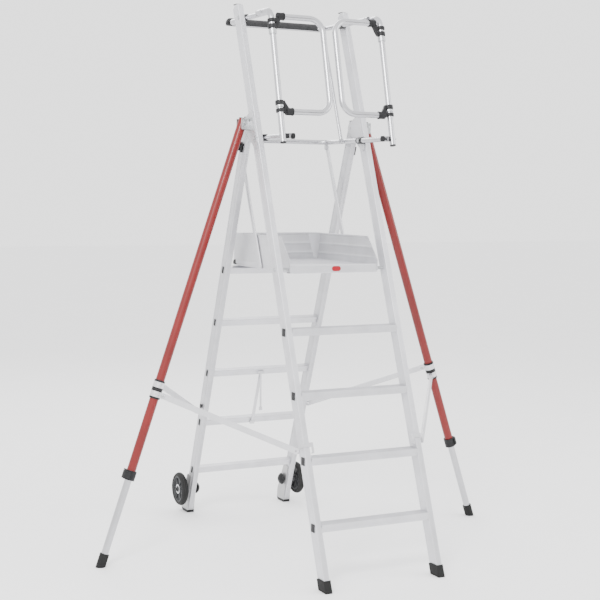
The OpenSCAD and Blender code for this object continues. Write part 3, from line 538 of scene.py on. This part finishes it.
def wheel(side, name):
    """A tyre with grooved tread, a ribbed dark disc and a bright ring."""
    centre = pivot(name + "_wheel_spin")
    matrix = turned(Vector((side, 0, 0)), centre)
    body = name + "_wheel_set"
    low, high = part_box(name + "_tyre")
    radius = (high.z - low.z) / 2
    half = (high.x - low.x) / 2
    rim = radius - 0.018
    bm = bmesh.new()
    lathe(bm, tread_profile(radius, rim, half), matrix, 96)
    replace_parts(place(name + "_tyre_tread", bm, TYRE, body), name + "_tyre")
    bm = bmesh.new()
    profile = [(0.0062, -0.012), (0.022, -0.012), (0.025, -0.004), (rim - 0.010, -0.004),
               (rim - 0.007, -0.013), (rim, -0.013), (rim, 0.013), (rim - 0.007, 0.013),
               (rim - 0.010, 0.004), (0.026, 0.004), (0.023, 0.011), (0.0062, 0.011)]
    lathe(bm, rounded_profile(profile, 0.0015, 3), matrix, 96)
    for index in range(6):
        turn = matrix @ Matrix.Rotation(math.radians(60 * index), 4, "Z")
        for low_z, high_z in ((0.003, 0.0085), (-0.0085, -0.003)):
            block(bm, (0.021, -0.0022, low_z), (rim - 0.006, 0.0022, high_z), turn, 0.0008)
    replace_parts(place(name + "_wheel_disc", bm, DARK, body), name + "_wheel")
    bm = bmesh.new()
    lathe(bm, ring_profile(0.0165, 0.0225, 0.010, 0.0125, 0.0006), matrix, 64)
    place(name + "_wheel_ring", bm, BRIGHT, body)


def axle_set():
    """Steel axle stubs, mushroom knobs inside and domed caps outside."""
    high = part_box("axle_knobs")[1]
    rail_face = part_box("right_rear_rail")[0].x
    knobs = bmesh.new()
    steel = bmesh.new()
    for side, name in ((-1, "left"), (1, "right")):
        centre = pivot(name + "_wheel_spin")
        reach = high.x - abs(centre.x)
        inner = abs(centre.x) - (rail_face - 0.016)
        out = turned(Vector((side, 0, 0)), centre)
        lathe(steel, ring_profile(0.0, 0.006, -inner, reach - 0.004, 0.0006), out, 40)
        lathe(steel, ring_profile(0.0062, 0.009, -0.036, -0.0145, 0.0005), out, 40)
        cap = [(0.0, reach - 0.0002), (0.005, reach - 0.0006), (0.0078, reach - 0.002),
               (0.009, reach - 0.0045), (0.009, 0.0150), (0.0, 0.0150)]
        lathe(knobs, cap, out, 40)
        dome = [(0.0, -inner - 0.0170)]
        crown = 0.033
        for step in range(1, 9):
            angle = math.radians(61 * step / 8)
            dome.append((crown * math.sin(angle), -inner + 0.016 - crown * math.cos(angle)))
        dome += [(0.0286, -inner + 0.0022), (0.0270, -inner + 0.003), (0.014, -inner + 0.003),
                 (0.0125, -inner + 0.005), (0.012, -inner + 0.011), (0.0, -inner + 0.011)]
        lathe(knobs, dome, out, 64)
    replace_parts(place("mushroom_knobs", knobs, BLACK, "rear_frame"), "axle_knobs")
    place("axle_steel", steel, ZINC, "rear_frame")


def star_knob(side, name):
    """A six-lobed knob with a boss behind, on a threaded steel screw with a pointed tip."""
    centre = pivot(name + "_knob_turn")
    low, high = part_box(name + "_knob")
    inner = min(abs(low.x), abs(high.x))
    outer = max(abs(low.x), abs(high.x))
    matrix = turned(Vector((side, 0, 0)), Vector((0, centre.y, centre.z)))
    outline = []
    for step in range(72):
        angle = 2 * math.pi * step / 72
        reach = 0.01215 + 0.0016 * math.cos(6 * angle)
        outline.append((reach * math.cos(angle), reach * math.sin(angle)))
    body = name + "_knob_set"
    bm = bmesh.new()
    prism(bm, outline, inner + 0.001, inner + 0.012, matrix, 0.0018, 3)
    boss = [(0.0, inner + 0.011), (0.009, inner + 0.011), (0.0075, inner + 0.018), (0.0, inner + 0.018)]
    lathe(bm, boss, matrix, 40)
    lathe(bm, ring_profile(0.0055, 0.0072, inner, inner + 0.003, 0.0004), matrix, 40)
    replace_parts(place(name + "_star_knob", bm, BLACK, body), name + "_knob")
    bm = bmesh.new()
    turns = 22
    start, end = inner + 0.017, outer - 0.002
    pitch = (end - start) / turns
    thread = [(0.0, start)]
    for step in range(turns):
        thread += [(0.0030, start + pitch * step), (0.0027, start + pitch * (step + 0.5))]
    thread += [(0.0028, end), (0.0015, outer), (0.0, outer)]
    lathe(bm, thread, matrix, 24)
    place(name + "_knob_screw", bm, ZINC, body)


def clamp_sleeves():
    """Black sleeves round the clamp screws, between the knee rail and the gate posts."""
    bm = bmesh.new()
    centre = pivot("left_knob_turn")
    for side in (-1, 1):
        lathe(bm, ring_profile(0.0081, 0.0108, 0.2366, 0.2466, 0.0008),
              turned(side * X_AXIS, Vector((0, centre.y, centre.z))), 40)
    place("clamp_sleeves", bm, BLACK, "knee_rail_set")


def boots():
    """Rear boots: cheeks in a darker copy of the aluminium, painted shade, down to a black sole."""
    sole = 0.0125
    for name, material, slot, keep_top in (("boot_cheeks", ALU_PAINTED_SHADE, "aluminium", True),
                                           ("boot_soles", BLACK, "black_plastic", False)):
        bm = node_copy("rear_shoes")
        level = sole + (0.0002 if keep_top else 0)
        sliced = bmesh.ops.bisect_plane(bm, geom=bm.verts[:] + bm.edges[:] + bm.faces[:],
                                        plane_co=(0, 0, level), plane_no=(0, 0, 1),
                                        clear_inner=keep_top, clear_outer=not keep_top)
        rim = [e for e in sliced["geom_cut"] if isinstance(e, bmesh.types.BMEdge)]
        bmesh.ops.holes_fill(bm, edges=rim)
        piece = place(name, bm, material, "rear_frame")
        round_edges(piece, 0.002, 3, 30)
        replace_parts(piece, "rear_shoes")


# ---------------------------------------------------------------- soft and small pieces

def pad_section(outer, tube, gap):
    """Outline of the pad as (radius, angle from straight down): an arch with rounded lips."""
    sweep = 2 * math.pi - 2 * gap
    middle = (outer + tube) / 2
    half = (outer - tube) / 2
    section = [(outer, gap + sweep * step / 40) for step in range(41)]
    for step in range(1, 8):
        turn = math.pi * step / 8
        lip = 0.35 * half / middle * math.sin(turn)
        section.append((middle + half * math.cos(turn), gap + sweep + lip))
    section += [(tube, gap + sweep - sweep * step / 40) for step in range(41)]
    for step in range(1, 8):
        turn = math.pi * step / 8
        lip = 0.35 * half / middle * math.sin(turn)
        section.append((middle - half * math.cos(turn), gap - lip))
    return section


def foam_pad():
    """The foam pad clipped over the rear bar, open underneath, following the bar into its bends."""
    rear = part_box("upper_rail")[1].y
    radius, bend, tube = 0.011, 0.060, 0.0108
    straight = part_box("upper_rail")[1].x - bend - radius
    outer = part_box("foam_sleeve")[1].z - pivot("upper_rail_fold").z - 0.0008
    reach = straight + 0.032
    section = pad_section(outer, tube, math.radians(66))
    stations = 120
    rings = []
    bm = bmesh.new()
    for index in range(stations + 1):
        along = -reach + 2 * reach * index / stations
        inset = reach - abs(along)
        turn = max(0.0, abs(along) - straight) / bend
        side = 1 if along > 0 else -1
        x = side * (min(abs(along), straight) + bend * math.sin(turn))
        y = rear - radius - bend * (1 - math.cos(turn))
        back = Vector((side * math.sin(turn), math.cos(turn), 0))
        soft = 0.004 * max(0.0, 1 - inset / 0.006) ** 2
        ring = []
        for length, angle in section:
            outward = length > (outer + tube) / 2
            dent = 0.0008 * noise.noise(Vector((along * 14, 3 * math.sin(angle), 3 * math.cos(angle))))
            length += (dent - soft) if outward else 0.0
            offset = back * (length * math.sin(angle)) - Vector((0, 0, length * math.cos(angle)))
            ring.append(bm.verts.new(Vector((x, y, pivot("upper_rail_fold").z)) + offset))
        rings.append(ring)
    skin(bm, rings)
    pad = place("foam_pad", bm, FOAM, "upper_rail_set", 60)
    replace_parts(pad, "foam_sleeve")


def toe_profile(height):
    """A toe board's inner face as (height, offset): two beads and a folded lip along its top."""
    rows = [(0.0, 0.0)]
    for bead in (0.36 * height, 0.66 * height):
        for step in range(-4, 5):
            rows.append((bead + 0.0022 * step, 0.0016 * (0.5 + 0.5 * math.cos(math.pi * step / 4))))
    return rows + [(height - 0.010, 0.0), (height - 0.008, 0.0022), (height - 0.002, 0.0022),
                   (height, 0.001)]


def toe_board(bm, start, end, inward, thick, height, slope):
    """Adds a board from start to end; its front edge leans back by slope over its top 0.1 m."""
    rings = []
    for z, lift in toe_profile(height):
        up = Vector((0, 0, z))
        back = Vector((0, slope * max(0.0, z - (height - 0.100)), 0))
        rings.append([bm.verts.new(start + up + back + inward * lift),
                      bm.verts.new(end + up + inward * lift),
                      bm.verts.new(end + up - inward * thick),
                      bm.verts.new(start + up + back - inward * thick)])
    skin(bm, rings)


def toe_boards():
    """Rolled toe boards on the platform's sides and rear, with folded corner gussets."""
    low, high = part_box("toe_boards")
    thick, slope = 0.0025, 0.89
    height = high.z - low.z
    left, right, rear = low.x + thick, high.x - thick, high.y - thick
    bm = bmesh.new()
    for x, inward in ((right, -X_AXIS), (left, X_AXIS)):
        toe_board(bm, Vector((x, low.y, low.z)), Vector((x, high.y, low.z)), inward, thick, height, slope)
    toe_board(bm, Vector((left, rear, low.z)), Vector((right, rear, low.z)), Vector((0, -1, 0)),
              thick, height, 0.0)
    inset = 0.0003
    for side in (-1, 1):
        corner = Vector((side * (right - inset), rear - inset, 0))
        gusset(bm, corner, side, low.z + 0.026, low.z + height - 0.001)
    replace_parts(place("toe_board_sheet", bm, ALU_PLAIN, "platform", 30), "toe_boards")


def gusset(bm, corner, side, bottom, top):
    """A V-shaped fold across a rear corner, wide at the top, with a groove down its middle."""
    fold = ((1, 0), (0.62, 0.30), (0.50, 0.42), (0.42, 0.50), (0.30, 0.62), (0, 1), (0, 0))
    rings = []
    for step in range(9):
        t = step / 8
        wide = 0.012 + 0.034 * t
        z = bottom + (top - bottom) * t
        rings.append([bm.verts.new((corner.x - side * (across * wide), corner.y - forward * wide, z))
                      for across, forward in fold])
    skin(bm, rings)


def nose_badge():
    """A blank domed pill with a bright rim on the platform's nose."""
    low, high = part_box("front_nosing")
    matrix = turned(Vector((0, -1, 0)), Vector((0.010, low.y, (low.z + high.z) / 2)))
    layers = (("badge_rim", BRIGHT, "aluminium", 0.023, 0.0125, 0.0006),
              ("badge_face", BADGE_RED, "red_paint", 0.0212, 0.0107, 0.0011))
    for name, material, slot, wide, tall, lift in layers:
        outline = []
        for step in range(48):
            angle = 2 * math.pi * step / 48
            cosine, sine = math.cos(angle), math.sin(angle)
            straight = wide - tall
            outline.append((math.copysign(straight, cosine) + tall * cosine, tall * sine))
        bm = bmesh.new()
        prism(bm, outline, -0.004, lift, matrix, 0.0004)
        place(name, bm, material, "platform")


def bolt(bm, side, low_x, high_x, y, z, shank, across, heads):
    """Adds a shank along X; heads names the ends with a hexagon head, o outside and i inside."""
    lathe(bm, ring_profile(0, shank, low_x, high_x, 0.0005), turned(side * X_AXIS, Vector((0, y, z))), 32)
    for end, way, x in (("o", side, high_x - BOLT_STAND), ("i", -side, low_x + BOLT_STAND)):
        if end in heads:
            hex_head(bm, turned(way * X_AXIS, Vector((side * x, y, z))), across, 0.0039)


def pivot_bolts():
    """Bolts with hexagon heads at the pivots and on the hinge plates."""
    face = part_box("hinge_plates")[1].x
    post_out, post_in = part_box("right_post")[1].x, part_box("right_post")[0].x
    plate_in, upper_in, knee_in, deck_in, spacer_in = 0.2437, 0.2200, 0.2162, 0.1830, 0.2150
    hinge, upper = pivot("rear_fold"), pivot("upper_rail_fold")
    knee, nose = pivot("knee_rail_fold"), pivot("platform_fold")
    bm = bmesh.new()
    for side in (-1, 1):
        bolt(bm, side, plate_in, face + BOLT_STAND, hinge.y, hinge.z, 0.006, 0.0138, "o")
        bolt(bm, side, upper_in, post_out + BOLT_STAND, upper.y, upper.z, 0.004, 0.0125, "io")
        bolt(bm, side, knee_in, face + BOLT_STAND, knee.y, knee.z, 0.004, 0.0125, "io")
        bolt(bm, side, deck_in, post_out + BOLT_STAND, nose.y, nose.z, 0.003, 0.0125, "o")
        lathe(bm, ring_profile(0.003, 0.007, spacer_in, post_in, 0.0004),
              turned(side * X_AXIS, Vector((0, nose.y, nose.z))), 40)
        for z in (1.775, 1.865):
            y = nose.y + math.tan(LEAN) * (z - nose.z) + 0.004
            bolt(bm, side, face - 0.001, face + BOLT_STAND, y, z, 0.003, 0.0097, "o")
    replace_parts(place("hex_bolts", bm, ZINC, "front_frame"), "pivot_bolts")


def brace_nuts():
    """Nuts on both ends of each brace's pin."""
    for name in ("left", "right"):
        for end in ("front", "rear"):
            root = pivot(f"{name}_{end}_brace_fold")
            bm = bmesh.new()
            for turn in (axis(f"{name}_{end}_brace_fold"), -axis(f"{name}_{end}_brace_fold")):
                hex_head(bm, turned(turn, root + turn * 0.0078), 0.0105, 0.0035)
            place(f"{name}_{end}_brace_nuts", bm, ZINC, f"{name}_leg")


# ---------------------------------------------------------------- stage, lights, camera

def stage():
    """A wide pale floor just under the feet, in an even white world."""
    bm = bmesh.new()
    bmesh.ops.create_grid(bm, x_segments=8, y_segments=8, size=30)
    floor = linked("floor", bm, floor_paint("pale_floor", (0.95, 0.95, 0.955)))
    floor.location.z = -0.0005
    world = bpy.data.worlds.new("studio")
    bpy.context.scene.world = world
    world.use_nodes = True
    background = world.node_tree.nodes["Background"]
    background.inputs["Color"].default_value = (1.0, 1.0, 1.0, 1)
    background.inputs["Strength"].default_value = 2.2


def dark_card():
    """A card beside the camera, seen only in reflections, that gives the metal its darker bands."""
    bm = bmesh.new()
    facing = turned(Vector((-2.7, 5.3, 0)), Vector((2.7, -5.3, 1.3)))
    block(bm, (-0.9, -1.7, -0.01), (0.9, 1.7, 0.01), facing, 0.0)
    card = linked("dark_card", bm, floor_paint("dark_card", (0.02, 0.02, 0.02)))
    card.visible_camera = False
    card.visible_diffuse = False
    card.visible_shadow = False


def area_light(name, place_at, target, size, power):
    """A soft round lamp aimed at a point."""
    light = bpy.data.lights.new(name, "AREA")
    light.shape = "DISK"
    light.size = size
    light.energy = power
    lamp = bpy.data.objects.new(name, light)
    lamp.location = place_at
    lamp.rotation_euler = (Vector(target) - Vector(place_at)).to_track_quat("-Z", "Y").to_euler()
    bpy.context.scene.collection.objects.link(lamp)


def camera():
    """The photograph's camera, fitted to the ladder."""
    yaw, pitch, roll = math.radians(-26.870), math.radians(-4.746), math.radians(0.547)
    forward = Vector((-math.sin(yaw) * math.cos(pitch), math.cos(yaw) * math.cos(pitch), math.sin(pitch)))
    level = Vector((math.cos(yaw), math.sin(yaw), 0))
    above = level.cross(forward)
    right = level * math.cos(roll) + above * math.sin(roll)
    up = above * math.cos(roll) - level * math.sin(roll)
    data = bpy.data.cameras.new("camera")
    data.sensor_width = 36
    data.lens = 78.15
    data.clip_end = 100
    lens = bpy.data.objects.new("camera", data)
    turn = Matrix((right, up, -forward)).transposed().to_4x4()
    lens.matrix_world = Matrix.Translation((-2.612, -5.1234, 1.559)) @ turn
    bpy.context.scene.collection.objects.link(lens)
    bpy.context.scene.camera = lens


camera()
dress_frames()
round_mouldings()
gate_posts()
for side, name in ((-1, "left"), (1, "right")):
    wheel(side, name)
    star_knob(side, name)
    gate_clamps(side, name)
axle_set()
clamp_sleeves()
boots()
foam_pad()
toe_boards()
nose_badge()
pivot_bolts()
brace_nuts()
stage()
dark_card()
area_light("key", (-3.0, -3.2, 4.2), (0, 0, 1.1), 2.0, 260)
area_light("fill", (4.0, -2.4, 2.6), (0, 0, 1.0), 3.0, 70)
area_light("back", (0.5, 4.2, 4.4), (0, 0, 1.3), 3.0, 120)
